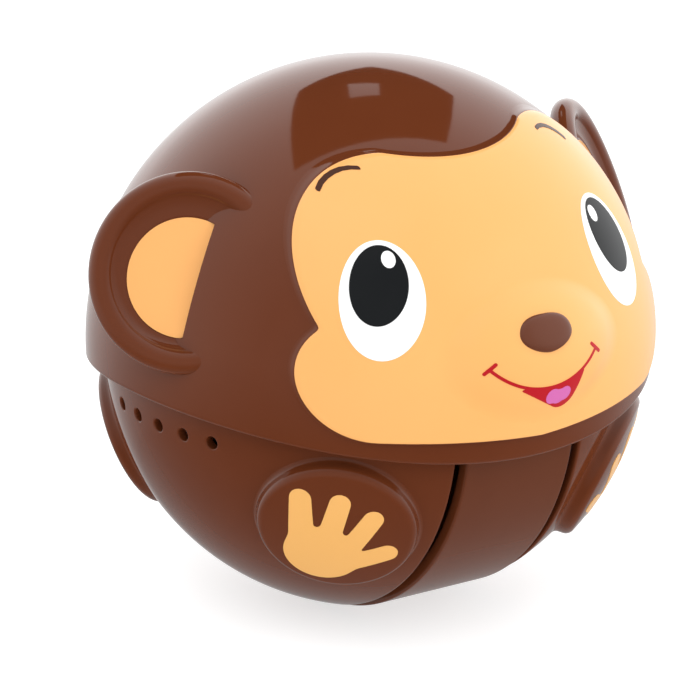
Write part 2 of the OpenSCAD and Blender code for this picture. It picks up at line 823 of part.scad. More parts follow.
module ear_disc() translate(ear_slip) rotate_extrude() polygon([
    [0, ear_back],
    [ear_r - 4, ear_back],
    [ear_r, -1.4],
    [ear_r - 0.6, 1.2],
    [ear_r - 2, 1.6],
    [inner_ear_r, ear_floor],
    [0, ear_floor]
]);
module ear_ridge() rotate_extrude() translate([ear_r, 0]) circle(ridge_r, $fn = 48);
module ear() difference() {
    union() {
        difference() {
            ear_frame() {
                ear_ridge();
                ear_disc();
            }
            ball(head_r);
        }
        ear_frame() translate([0, 0, ear_back + 0.1]) linear_extrude(ear_floor - ear_back - 0.2)
            inner_ear_outline(0.05);
        ear_frame() rod_z(ear_peg_r, [ear_peg_end, ear_floor - 0.2]);
    }
    ear_frame() rod_z(pilot_r, [ear_peg_end - 1, ear_floor - 2]);
}
module ear_inlay() ear_frame() translate([0, 0, ear_floor]) linear_extrude(inlay_t) inner_ear_outline();
module left_ear() color(brown) at_head() ear();
module right_ear() color(brown) at_head() right_side() ear();
module left_ear_inlay() color(cream) at_head() ear_inlay();
module right_ear_inlay() color(cream) at_head() right_side() ear_inlay();
module ear_screws() color(steel) at_head() both_sides()
    ear_frame() translate([0, 0, ear_peg_end]) screw(7);
module post_screws() color(steel) at_head() post_places()
    translate([0, 0, sleeve_z[0] - stop_gap]) screw(8, 4.4);

// ---------- nodes ----------

right_pod_shell();
left_pod_shell();
right_pod_plate();
left_pod_plate();
hub_spool();
spool_screws();
pod_screws();
right_ballast();
left_ballast();
ballast_screws();
hand_prints();
foot_prints();
drum_cup();
drum_skin();
drum_screws();
hammer_pin();
hammer_spring();
motor_plate();
motor_pillars();
motor_screws();
spring_arbor();
mainspring();
head_springs();
drive_wheel();
wheel_gear();
spring_barrel();
barrel_cap();
drive_shaft();
drive_pinion();
barrel_pinion();
transfer_gear();
governor_shaft();
governor_pinion();
flywheel();
hammer_arm();
hammer_head();
head_shell();
face_plate();
eye_whites();
pupils();
eye_glints();
brows();
nose();
mouth();
tongue();
right_ear();
left_ear();
right_ear_inlay();
left_ear_inlay();
ear_screws();
post_screws();
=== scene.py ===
# Looks of the rolling ball monkey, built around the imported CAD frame.
# Shapes are worked out in millimetres and stored in metres, in the frame's own axes.
import json
import math

import bpy
import numpy as np
from mathutils import Matrix, Vector


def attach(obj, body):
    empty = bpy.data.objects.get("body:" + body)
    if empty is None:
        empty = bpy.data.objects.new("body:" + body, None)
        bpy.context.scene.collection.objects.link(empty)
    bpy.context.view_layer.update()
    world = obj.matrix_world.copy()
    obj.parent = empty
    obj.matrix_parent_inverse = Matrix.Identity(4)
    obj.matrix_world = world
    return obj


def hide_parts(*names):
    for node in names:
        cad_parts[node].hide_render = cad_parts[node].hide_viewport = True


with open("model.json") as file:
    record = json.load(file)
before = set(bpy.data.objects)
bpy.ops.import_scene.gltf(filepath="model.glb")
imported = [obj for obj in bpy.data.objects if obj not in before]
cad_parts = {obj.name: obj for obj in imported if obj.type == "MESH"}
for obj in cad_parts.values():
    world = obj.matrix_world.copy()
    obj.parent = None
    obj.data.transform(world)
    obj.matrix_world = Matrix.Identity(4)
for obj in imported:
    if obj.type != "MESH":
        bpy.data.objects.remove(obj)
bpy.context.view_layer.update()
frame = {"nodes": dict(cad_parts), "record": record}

MM = 0.001
HEAD = np.array([0.0, 2.15, 57.6])
BODY = np.array([0.0, 2.15, 56.1])


# ---------- materials ----------

# Noise scales, per metre, of colour, gloss and the shallow waves of moulded plastic
MOTTLE_SCALE, GLOSS_SCALE, WAVE_SCALE = 18.0, 70.0, 38.0


def lin(r, g, b):
    """Linear colour of an sRGB one given in 0 to 255."""
    return tuple(((c / 255 + 0.055) / 1.055) ** 2.4 if c > 10 else c / 255 / 12.92 for c in (r, g, b)) + (1,)


def mix_range(tree, factor, low, high):
    node = tree.nodes.new("ShaderNodeMapRange")
    node.inputs["To Min"].default_value = low
    node.inputs["To Max"].default_value = high
    tree.links.new(factor, node.inputs["Value"])
    return node.outputs["Result"]


def noise(tree, coords, scale, detail=2.0):
    node = tree.nodes.new("ShaderNodeTexNoise")
    node.inputs["Scale"].default_value = scale
    node.inputs["Detail"].default_value = detail
    tree.links.new(coords, node.inputs["Vector"])
    return node.outputs["Fac"]


def material(name, dark, light, rough, metal=0.0, wave=0.0, grain=0.0, grain_scale=900.0, ior=1.5):
    """A moulded, painted or metal surface: colour that drifts between two close shades, uneven gloss,
    the long shallow waves of moulded plastic and a fine grain."""
    made = bpy.data.materials.new(name)
    made.use_nodes = True
    tree = made.node_tree
    shader = tree.nodes["Principled BSDF"]
    coords = tree.nodes.new("ShaderNodeTexCoord").outputs["Object"]
    ramp = tree.nodes.new("ShaderNodeValToRGB")
    ramp.color_ramp.elements[0].position = 0.35
    ramp.color_ramp.elements[0].color = dark
    ramp.color_ramp.elements[1].position = 0.65
    ramp.color_ramp.elements[1].color = light
    tree.links.new(noise(tree, coords, MOTTLE_SCALE, 4.0), ramp.inputs["Fac"])
    tree.links.new(ramp.outputs["Color"], shader.inputs["Base Color"])
    fine = noise(tree, coords, grain_scale, 3.0)
    tree.links.new(mix_range(tree, noise(tree, coords, GLOSS_SCALE, 5.0), *rough), shader.inputs["Roughness"])
    shader.inputs["Metallic"].default_value = metal
    shader.inputs["IOR"].default_value = ior
    normal = None
    waves = noise(tree, coords, WAVE_SCALE, 1.0)
    for height, strength, distance in ((waves, wave, 0.001), (fine, grain, 0.0001)):
        if strength > 0:
            bump = tree.nodes.new("ShaderNodeBump")
            bump.inputs["Strength"].default_value = strength
            bump.inputs["Distance"].default_value = distance
            tree.links.new(height, bump.inputs["Height"])
            if normal is not None:
                tree.links.new(normal, bump.inputs["Normal"])
            normal = bump.outputs["Normal"]
    if normal is not None:
        tree.links.new(normal, shader.inputs["Normal"])
    return made


BROWN = material(
    "brown_gloss", (0.110, 0.026, 0.0085, 1), (0.122, 0.030, 0.0100, 1), (0.05, 0.09),
    wave=0.05, grain=0.02, ior=1.42)
TREAD = material(
    "brown_tread", (0.104, 0.026, 0.0090, 1), (0.118, 0.031, 0.0110, 1), (0.14, 0.24),
    wave=0.03, grain=0.08, ior=1.42)
CREAM = material(
    "cream_face", (0.85, 0.412, 0.132, 1), (0.88, 0.430, 0.142, 1), (0.12, 0.17),
    wave=0.03, grain=0.02, ior=1.42)
CREAM_PAINT = material(
    "cream_paint", (0.80, 0.42, 0.118, 1), (0.84, 0.44, 0.130, 1), (0.18, 0.26), grain=0.05)
WHITE = material(
    "white_paint", (0.93, 0.93, 0.93, 1), (0.96, 0.96, 0.96, 1), (0.12, 0.18), grain=0.03)
BLACK = material(
    "black_paint", (0.006, 0.007, 0.008, 1), (0.010, 0.011, 0.012, 1), (0.10, 0.15), grain=0.02, ior=1.28)
BROW = material(
    "brow_paint", (0.045, 0.013, 0.005, 1), (0.058, 0.017, 0.007, 1), (0.2, 0.3), grain=0.05, ior=1.35)
NOSE = material(
    "nose_brown", (0.112, 0.033, 0.016, 1), (0.126, 0.038, 0.019, 1), (0.16, 0.22), grain=0.04, ior=1.42)
RED = material(
    "red_paint", (0.42, 0.006, 0.012, 1), (0.47, 0.008, 0.016, 1), (0.2, 0.28), grain=0.03, ior=1.32)
PINK = material(
    "pink_paint", (0.56, 0.12, 0.37, 1), (0.61, 0.14, 0.41, 1), (0.2, 0.28), grain=0.03, ior=1.4)
NYLON = material("nylon", lin(222, 217, 202), lin(232, 228, 215), (0.35, 0.5), grain=0.2)
# Painted shade: on the pod plates this dark colour stands for the shade in the narrow gaps beside the roller,
# not for a known colour of the plates themselves.
DARK = material("dark_plastic", lin(34, 20, 15), lin(40, 24, 18), (0.35, 0.5), grain=0.15)
IRON = material(
    "cast_iron", lin(58, 58, 60), lin(74, 74, 76), (0.5, 0.7), metal=0.8, grain=0.5, grain_scale=500.0)
BRASS = material("brass", lin(196, 160, 84), lin(208, 172, 98), (0.2, 0.32), metal=1.0, grain=0.1)
FILM = material("drum_film", lin(214, 212, 204), lin(226, 224, 216), (0.3, 0.4), grain=0.1)
SPRING = material("spring_steel", lin(92, 96, 104), lin(108, 112, 120), (0.25, 0.35), metal=1.0, grain=0.1)
STEEL = material("plated_steel", lin(176, 178, 182), lin(190, 192, 196), (0.2, 0.35), metal=1.0, grain=0.1)
BY_SLOT = {
    "brown_shell": BROWN, "brown_tread": TREAD, "cream_face": CREAM, "cream_paint": CREAM_PAINT,
    "white_paint": WHITE, "black_paint": BLACK, "dark_brown": NOSE, "red_paint": RED, "pink_paint": PINK,
    "nylon": NYLON, "dark_plastic": DARK, "ballast_iron": IRON, "brass": BRASS, "skin_film": FILM,
    "spring_steel": SPRING, "plated_steel": STEEL,
}
SLOT_OF = {part["node"]: part["material_slot"] for part in frame["record"]["subparts"]}
for name, node in frame["nodes"].items():
    node.data.materials.clear()
    node.data.materials.append(BY_SLOT[SLOT_OF[name]])


# ---------- meshes ----------

def piece(name, points, faces, body, surface, slot, stands_for=(), normals=None):
    """A mesh piece in millimetres that rides on a CAD body and stands for CAD nodes."""
    points = np.asarray(points, float)
    used = np.unique(np.concatenate([np.asarray(f).ravel() for f in faces]) if len(faces) else [])
    place = np.full(len(points), -1)
    place[used] = np.arange(len(used))
    mesh = bpy.data.meshes.new(name)
    mesh.from_pydata((points[used] * MM).tolist(), [], [[int(place[i]) for i in f] for f in faces])
    mesh.update()
    mesh.shade_smooth()
    if normals is not None:
        mesh.normals_split_custom_set_from_vertices(np.asarray(normals)[used].tolist())
    mesh.materials.append(surface)
    made = bpy.data.objects.new(name, mesh)
    bpy.context.scene.collection.objects.link(made)
    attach(made, body)
    if stands_for:
        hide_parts(*stands_for)
    return made


def quads(rows, cols, around=False):
    """Faces of a grid of points stored row by row; around closes it from the last column to the first."""
    index = np.arange(rows * cols).reshape(rows, cols)
    if around:
        index = np.concatenate([index, index[:, :1]], axis=1)
    return np.stack([index[:-1, :-1], index[:-1, 1:], index[1:, 1:], index[1:, :-1]], -1).reshape(-1, 4)


def clip(points, value, faces):
    """Keeps the part of the faces where value < 0, cut along value = 0. Returns points and faces."""
    inside = (value[faces] < 0).sum(1)
    kept = faces[inside == faces.shape[1]].tolist()
    points = list(points)
    made = {}
    for face in faces[(inside > 0) & (inside < faces.shape[1])]:
        ring = []
        for a, b in zip(face.tolist(), np.roll(face, -1).tolist()):
            if value[a] < 0:
                ring.append(a)
            if (value[a] < 0) != (value[b] < 0):
                key = (min(a, b), max(a, b))
                if key not in made:
                    t = value[a] / (value[a] - value[b])
                    made[key] = len(points)
                    points.append(points[a] * (1 - t) + points[b] * t)
                ring.append(made[key])
        kept.append(ring)
    return np.array(points), kept


def border(faces):
    """The directed edges that only one face uses."""
    edges = set()
    for f in faces:
        for a, b in zip(f, list(f[1:]) + [f[0]]):
            edges.add((int(a), int(b)))
    return [(a, b) for a, b in edges if (b, a) not in edges]


def film(name, shape, low, high, step, surface_at, thick, *where, **more):
    """A thin layer of paint: the flat region shape(x, y) < 0, laid on surface_at(x, y, height)."""
    nx = int(math.ceil((high[0] - low[0]) / step)) + 1
    ny = int(math.ceil((high[1] - low[1]) / step)) + 1
    x, y = np.meshgrid(np.linspace(low[0], high[0], nx), np.linspace(low[1], high[1], ny), indexing="ij")
    flat = np.stack([x.ravel(), y.ravel()], 1)
    flat, faces = clip(flat, shape(flat[:, 0], flat[:, 1]), quads(nx, ny))
    top, normals = surface_at(flat[:, 0], flat[:, 1], thick)
    foot, _ = surface_at(flat[:, 0], flat[:, 1], -0.05)
    a, b, c = faces[0][:3]
    turned = np.cross(top[b] - top[a], top[c] - top[a]) @ normals[a] < 0
    faces = [list(f)[::-1] if turned else list(f) for f in faces]
    n = len(top)
    points = np.concatenate([top, top, foot])
    walls = [[b + n, a + n, a + 2 * n, b + 2 * n] for a, b in border(faces)]
    outward = np.zeros_like(normals)
    for a, b in border(faces):
        across = np.cross(top[b] - top[a], normals[a])
        outward[a] += across
        outward[b] += across
    size = np.linalg.norm(outward, axis=1, keepdims=True)
    outward = np.where(size > 1e-9, outward / np.maximum(size, 1e-9), normals)
    soft = normals + outward
    soft /= np.linalg.norm(soft, axis=1, keepdims=True)
    normals = np.concatenate([normals, soft, outward])
    return piece(name, points, faces + walls, *where, normals=normals, **more)


# ---------- flat shapes, as distances that are negative inside ----------

def circle(x, y, c, r):
    return np.hypot(x - c[0], y - c[1]) - r


def egg(x, y, a, ra, b, rb):
    """The hull of two circles."""
    dx, dy = b[0] - a[0], b[1] - a[1]
    long = math.hypot(dx, dy)
    along = ((x - a[0]) * dx + (y - a[1]) * dy) / long
    off = np.abs((x - a[0]) * dy - (y - a[1]) * dx) / long
    k = (ra - rb) / long
    c = math.sqrt(1 - k * k)
    t = -k * off + c * along
    return np.where(t < 0, np.hypot(off, along) - ra,
                    np.where(t > c * long, np.hypot(off, along - long) - rb, c * off + k * along - ra))


def stroke(x, y, path, r):
    return np.min([egg(x, y, p, r, q, r * 0.999) for p, q in zip(path, path[1:])], axis=0)


def oval(x, y, c, half, lean):
    """An ellipse whose long axis leans towards the middle of the face."""
    a = math.radians(lean)
    u = ((x - c[0]) * math.cos(a) + (y - c[1]) * math.sin(a)) / half[0]
    v = ((y - c[1]) * math.cos(a) - (x - c[0]) * math.sin(a)) / half[1]
    return (np.hypot(u, v) - 1) * min(half)


def blend(a, b, k):
    """Smooth union of two distances; k is the size of the fillet."""
    h = np.clip(0.5 + 0.5 * (b - a) / k, 0, 1)
    return b + (a - b) * h - k * h * (1 - h)


# ---------- head ----------

HEAD_R, HEAD_IN = 62.0, 59.5
STEP_R = 63.1
RIM_SIDE, RIM_DROP = -2.0, 8.7
EAR_AT = np.array([54.2, -9.6, 26.4])
EAR_LON, EAR_LAT = math.radians(47.4), math.radians(22.3)
EAR_R, RIDGE_R, INNER_R = 18.8, 2.8, 12.9
EAR_FLOOR, EAR_BACK, EAR_CUT = 0.0, -3.0, 3.0
EAR_SLIP = (1.1, 0.3)
EAR_TURN = math.radians(-79)


def direction(lon, lat):
    return np.array([math.sin(lon) * math.cos(lat), -math.cos(lon) * math.cos(lat), math.sin(lat)])


# The ear's own axes: ear_z is the way it faces, and ear_x points down it
EAR_Z = direction(EAR_LON, EAR_LAT)
EAR_Y = np.array([math.cos(EAR_LON), math.sin(EAR_LON), 0.0])
EAR_X = np.cross(EAR_Y, EAR_Z)


def in_ear(points, side):
    """Coordinates of head points in the ear's axes. The right ear is the mirror image."""
    p = points * np.array([side, 1, 1]) - EAR_AT
    return p @ EAR_X, p @ EAR_Y, p @ EAR_Z


def from_ear(x, y, z, side):
    p = EAR_AT + np.multiply.outer(x, EAR_X) + np.multiply.outer(y, EAR_Y) + np.multiply.outer(z, EAR_Z)
    return HEAD + p * np.array([side, 1, 1])


def inner_ear(x, y, shrink=0.0):
    """The cream disc, a little low in the ridge and cut straight on the side of the head."""
    x, y = x - EAR_SLIP[0], y - EAR_SLIP[1]
    across = x * math.cos(EAR_TURN) + y * math.sin(EAR_TURN)
    return np.maximum(np.hypot(x, y) - INNER_R + shrink, across - EAR_CUT + shrink)


def head_shell():
    """The ball down to its curved rim, the rim's rounding, and the inside wall; open where the ears sit."""
    cols, rows = 720, 300
    lon = np.linspace(0, 2 * math.pi, cols, endpoint=False)
    lat = np.full(cols, -0.05)
    for _ in range(20):
        lat = np.arcsin((RIM_SIDE - RIM_DROP * (np.cos(lat) * np.cos(lon)) ** 2) / HEAD_R)
    roundness = 1.3
    radius = [HEAD_R] * rows
    height = [roundness] * rows
    share = list(np.linspace(0.0, 1.0, rows))
    for a in np.linspace(0, 90, 9)[1:]:
        radius.append(HEAD_R - roundness * (1 - math.cos(math.radians(a))))
        height.append(roundness * (1 - math.sin(math.radians(a))))
        share.append(1.0)
    for out, h in ((0.7, 0.0), (0.2, 0.0), (0.0, 0.2), (0.0, 1.0), (0.0, 3.0), (0.0, 8.0), (0.0, 16.0)):
        radius.append(HEAD_IN + out)
        height.append(h)
        share.append(1.0)
    radius, height, share = (np.array(v)[:, None] for v in (radius, height, share))
    at = np.where(share < 0.999, math.pi / 2 + (lat[None, :] + roundness / HEAD_R - math.pi / 2) * share,
                  lat[None, :] + height / HEAD_R)
    points = radius[..., None] * np.stack(
        [np.sin(lon) * np.cos(at), -np.cos(lon) * np.cos(at), np.sin(at)], -1)
    shape = points.shape
    points = points.reshape(-1, 3)
    value = np.full(len(points), -1.0)
    for side in (1, -1):
        x, y, z = in_ear(points, side)
        value = np.maximum(value, np.where(z > EAR_BACK / 2, np.minimum(-inner_ear(x, y), 1.0), -1.0))
    points, faces = clip(points, value, quads(shape[0], shape[1], around=True)[:, ::-1])
    return piece("head", points + HEAD, faces, "head", BROWN, "brown_shell", stands_for=("head_shell",))


def ear_wall(side):
    """The straight wall that the inner ear leaves in the head."""
    v = np.linspace(-1, 1, 121) * math.sqrt(INNER_R ** 2 - EAR_CUT ** 2)
    c, s = math.cos(EAR_TURN), math.sin(EAR_TURN)
    x, y = EAR_SLIP[0] + EAR_CUT * c - v * s, EAR_SLIP[1] + EAR_CUT * s + v * c
    # height of the head's ball over the ear's floor along that line
    base = EAR_AT + np.outer(x, EAR_X) + np.outer(y, EAR_Y)
    down = base @ EAR_Z
    top = -down + np.sqrt(np.maximum(down ** 2 - (base ** 2).sum(1) + HEAD_R ** 2, 0))
    top = np.maximum(top, EAR_FLOOR)
    rows = [from_ear(x, y, top * (1 - t) + EAR_FLOOR * t, side) for t in (0, 0.33, 0.66, 1)]
    name = "ear_wall_left" if side > 0 else "ear_wall_right"
    return piece(name, np.concatenate(rows), quads(4, len(v)), "head", BROWN, "brown_shell")


def ear(side):
    """A dish with a round ridge, and the cream disc laid in it."""
    name = "left" if side > 0 else "right"
    floor = [(r, EAR_FLOOR) for r in (0.0, 4.0, 8.0, INNER_R - 0.2, INNER_R)]
    crest = [(EAR_R + RIDGE_R * math.cos(math.radians(a)), RIDGE_R * math.sin(math.radians(a)))
             for a in range(150, -66, -6)]
    foot, head = np.array([INNER_R + 0.15, EAR_FLOOR + 0.1]), np.array(crest[0])
    slope = [tuple(foot)]
    for t in np.linspace(0.15, 0.95, 9):
        p = foot * (1 - t) + head * t
        slope.append((p[0], p[1] - 0.3 * math.sin(math.pi * t)))
    back = [(EAR_R + 0.2, EAR_BACK + 0.5), (EAR_R - 1.6, EAR_BACK + 0.2)]
    back += [(r, EAR_BACK) for r in (EAR_R - 4, EAR_R - 10, 0)]
    profile = np.array(floor + slope + crest + back)
    # the dish sits a little low in the ridge, so its rings slide over on the way down
    slide = [np.ones(len(floor)), np.linspace(1, 0, len(slope)), np.zeros(len(crest) + len(back))]
    slide = np.concatenate(slide)
    turn = np.linspace(0, 2 * math.pi, 361)[:-1]
    x = profile[:, 0][:, None] * np.cos(turn) + slide[:, None] * EAR_SLIP[0]
    y = profile[:, 0][:, None] * np.sin(turn) + slide[:, None] * EAR_SLIP[1]
    z = np.repeat(profile[:, 1][:, None], len(turn), 1)
    points = from_ear(x, y, z, side).reshape(-1, 3)
    faces = quads(len(profile), len(turn), around=True)
    if side < 0:
        faces = faces[:, ::-1]
    piece("ear_" + name, points, faces, "head", BROWN, "brown_shell", stands_for=(name + "_ear",))

    def on_floor(px, py, height):
        at = from_ear(px, py, np.full(len(px), EAR_FLOOR + 0.05) + height, side)
        way = EAR_Z * np.array([side, 1, 1])
        return at, np.repeat(way[None], len(px), 0)

    reach = INNER_R + 1.6
    film("ear_inlay_" + name, lambda a, b: inner_ear(a, b, 0.08), (-reach, -reach), (reach, reach), 0.8,
         on_floor, 0.3, "head", CREAM, "cream_paint", stands_for=(name + "_ear_inlay",))


# ---------- face ----------

FACE_MIDDLE = (0.0, 18.0)
LOBE_X, LOBE_Z, LOBE_R = 19.0, 27.4, 24.6
DIP_Z, DIP_R = 151.2, 101.0
CHEEK_X, CHEEK_Z, CHEEK_R = 34.5, 10.0, 13.2
CHIN_Z, CHIN_RISE = -5.0, 1.8
MUZZLE_Y, MUZZLE_Z, MUZZLE_R, MUZZLE_BOW = -46.7, 10.5, 19.6, 33.1
# How far the prints on the toy's own left sit nearer the middle, and higher
PRINT_SLIP = (3.0, 1.3)
EYE, PUPIL, GLINT, BROW_AT = (31.1, 26.0), (31.1, 29.0), (28.0, 34.0), (29.2, 47.8)
BROW_PATH = ((33.6, 45.8), (32.4, 47.0), (31.0, 48.0), (29.5, 48.8), (27.9, 49.4), (26.3, 49.7), (24.9, 49.7))
SMILE, SMILE_R, SMILE_TOP = (-0.9, 26.0), 19.4, 12.3
LIP, LIP_R = (3.3, 4.7), 3.7
NOSE_AT, NOSE_HALF = (-0.7, 18.3), 6.6


def face_shape(x, z):
    """The face's outline in a front view: two brow lobes with a dip between them, cheeks and chin."""
    # the upper edge runs a little uphill to the toy's own left
    high = z - 0.034 * (x + LOBE_X) * np.clip((z - 20) / 25, 0, 1)
    side = np.abs(x)
    lobe = circle(side, high, (LOBE_X, LOBE_Z), LOBE_R)
    between = np.maximum(side - LOBE_X, np.abs(high - LOBE_Z) - LOBE_R)
    brow = np.maximum(np.minimum(lobe, between), DIP_R - np.hypot(x, high - DIP_Z))
    cheek = circle(side, z, (CHEEK_X, CHEEK_Z), CHEEK_R)
    chin = np.maximum(np.maximum(side - CHEEK_X, z - 12), (CHIN_Z + CHIN_RISE * side / CHEEK_X) - z)
    return np.minimum(np.minimum(brow, cheek), chin)


def face_front(x, z, r):
    """Y of the face's surface: the ball, with the muzzle's bulge blended in."""
    ball = -np.sqrt(np.maximum(r ** 2 - x ** 2 - z ** 2, 1.0))
    around = np.sqrt(np.maximum(MUZZLE_BOW ** 2 - x ** 2, 0)) + MUZZLE_R - MUZZLE_BOW
    rise = around ** 2 - (z - MUZZLE_Z) ** 2
    bulge = np.where((around > 0) & (rise > 0), MUZZLE_Y - np.sqrt(np.maximum(rise, 0)), 0.0)
    return blend(ball, bulge, 1.2)


def on_face(x, z, height):
    """Places and normals at a height over the face."""
    e = 0.05
    y = face_front(x, z, STEP_R)
    gx = (face_front(x + e, z, STEP_R) - face_front(x - e, z, STEP_R)) / (2 * e)
    gz = (face_front(x, z + e, STEP_R) - face_front(x, z - e, STEP_R)) / (2 * e)
    normal = np.stack([gx, -np.ones_like(gx), gz], -1)
    normal /= np.linalg.norm(normal, axis=-1, keepdims=True)
    return HEAD + np.stack([x, y, z], -1) + normal * height, normal


def face():
    """The cream plate as rings from its middle to its rounded edge, and the brown step around it."""
    count = 1080
    cx, cz = FACE_MIDDLE
    turn = np.linspace(0, 2 * math.pi, count, endpoint=False)
    reach = np.linspace(0, 62, 1241)
    x = cx + np.outer(np.cos(turn), reach)
    z = cz + np.outer(np.sin(turn), reach)
    inside = face_shape(x, z) < 0
    last = inside.shape[1] - 1 - np.argmax(inside[:, ::-1], axis=1)
    index = np.arange(count)
    v0 = face_shape(x[index, last], z[index, last])
    v1 = face_shape(x[index, last + 1], z[index, last + 1])
    edge = reach[last] + 0.05 * v0 / (v0 - v1)
    for _ in range(6):
        edge = (np.roll(edge, 1) + 2 * edge + np.roll(edge, -1)) / 4
    ex, ez = cx + edge * np.cos(turn), cz + edge * np.sin(turn)
    tx, tz = np.roll(ex, -1) - np.roll(ex, 1), np.roll(ez, -1) - np.roll(ez, 1)
    size = np.hypot(tx, tz)
    ox, oz = tz / size, -tx / size
    rings = []
    for t in np.linspace(0, 1, 170):
        rings.append((cx + (ex - 0.7 * ox - cx) * t, cz + (ez - 0.7 * oz - cz) * t, STEP_R))
    for out, sink in ((-0.5, 0.01), (-0.32, 0.05), (-0.18, 0.12), (-0.08, 0.22), (-0.02, 0.34)):
        rings.append((ex + out * ox, ez + out * oz, STEP_R - sink))
    top = np.stack([np.stack([a, face_front(a, b, r), b], -1) for a, b, r in rings])
    piece("face", top.reshape(-1, 3) + HEAD, quads(len(rings), count, around=True)[:, ::-1], "head",
          CREAM, "cream_face", stands_for=("face_plate",))
    wall = []
    for out, rise in ((-0.6, 0.5), (-0.03, 0.74), (0.04, 0.6), (0.09, 0.4), (0.14, 0.2), (0.24, 0.08),
                      (0.45, 0.0), (0.8, -0.2)):
        a, b = ex + out * ox, ez + out * oz
        wall.append(np.stack([a, -np.sqrt(np.maximum((HEAD_R + rise) ** 2 - a ** 2 - b ** 2, 1)), b], -1))
    piece("face_step", np.concatenate(wall) + HEAD, quads(len(wall), count, around=True)[:, ::-1], "head",
          BROWN, "brown_shell")


def print_both(title, shape, middle, half, step, height, surface, slot, node):
    """A print on the right side of the face, given there as mirrored, and its slipped copy on the left."""
    for side, name in ((1, "left"), (-1, "right")):
        slip = PRINT_SLIP if side > 0 else (0.0, 0.0)
        at = (side * middle[0] - slip[0], middle[1] + slip[1])
        film(title + name, lambda x, z: shape((x + slip[0]) * side, z - slip[1]),
             (at[0] - half, at[1] - half), (at[0] + half, at[1] + half), step, on_face, height,
             "head", surface, slot, stands_for=(node,) if side > 0 else ())


def mouth(x, z):
    """A smile line with a tick at each end, and the open lip hanging under it."""
    out = np.hypot(x - SMILE[0], z - SMILE[1])
    arc = np.maximum(np.abs(out - SMILE_R) - 0.34, z - SMILE_TOP)
    fill = np.minimum(egg(x, z, LIP, LIP_R, (-7.2, 6.8), 0.2), egg(x, z, LIP, LIP_R, (8.7, 8.6), 0.2))
    ticks = np.minimum(stroke(x, z, ((-13.2, 13.2), (-15.5, 11.3)), 0.38),
                       stroke(x, z, ((11.5, 13.6), (14.2, 11.3)), 0.38))
    return np.minimum(np.minimum(arc, np.maximum(fill, SMILE_R - 0.34 - out)), ticks)


def tongue(x, z):
    low = circle(x, z, (2.1, 4.0), 1.75)
    return np.minimum(np.minimum(blend(circle(x, z, (0.5, 4.3), 1.75), low, 0.4), low),
                      blend(circle(x, z, (3.7, 4.4), 1.65), low, 0.4))


def features():
    print_both("eye_", lambda x, z: oval(x, z, EYE, (7.3, 12.0), 21), EYE, 13.5, 0.35, 0.12,
               WHITE, "white_paint", "eye_whites")
    print_both("pupil_", lambda x, z: oval(x, z, PUPIL, (4.8, 8.2), 27), PUPIL, 9.5, 0.3, 0.22,
               BLACK, "black_paint", "pupils")
    print_both("glint_", lambda x, z: oval(x, z, GLINT, (1.2, 1.65), 27), GLINT, 3, 0.12, 0.30,
               WHITE, "white_paint", "eye_glints")
    print_both("brow_", lambda x, z: stroke(x, z, BROW_PATH, 0.3), BROW_AT, 6, 0.16, 0.08,
               BROW, "dark_brown", "brows")
    film("mouth", mouth, (-18, -1), (17, 15.5), 0.2, on_face, 0.1, "head", RED, "red_paint",
         stands_for=("mouth",))
    film("tongue", tongue, (-3, 1), (7, 8), 0.16, on_face, 0.18, "head", PINK, "pink_paint",
         stands_for=("tongue",))
    nose()


def nose():
    """A low rounded button, fuller above than below."""
    count, rows = 144, 28
    turn = np.linspace(0, 2 * math.pi, count, endpoint=False)
    c, s = np.cos(turn), np.sin(turn)
    power = 0.99 - 0.155 * s
    ex = NOSE_HALF * np.sign(c) * np.abs(c) ** power
    ez = np.where(s > 0, 3.75, 3.9) * np.sign(s) * np.abs(s) ** power
    rings = []
    for t in np.linspace(0, 1, rows):
        height = max(0.0, 1 - t ** 5) ** 0.5 - 0.08
        at, _ = on_face(NOSE_AT[0] + ex * t, NOSE_AT[1] + ez * t, np.full(count, height)[:, None])
        rings.append(at)
    piece("nose", np.concatenate(rings), quads(rows, count, around=True)[:, ::-1], "head", NOSE, "dark_brown",
          stands_for=("nose",))


# ---------- body ----------

BODY_R, POD_IN = 57.8, 55.6
POD_FACE, POD_BEVEL = 16.5, 0.5
# The pods end out of sight under the head
POD_TOP = 5.0
HOLE_Z, HOLE_R, HOLE_STEP, HOLE_MID = -7.5, 1.4, 8.1, 2.6
PAD_R, PAD_TOP, PAD_EDGE = 17.2, 60.8, 1.5
PAD_LON, PAD_LAT = 43.0, -25.0


def sound_holes():
    """For each of the five holes in the right pod: the way out of it, and the way across it."""
    for i in range(5):
        a = math.radians((i - 2) * HOLE_STEP + HOLE_MID)
        yield np.array([-math.cos(a), -math.sin(a), 0.0]), np.array([math.sin(a), -math.cos(a), 0.0])


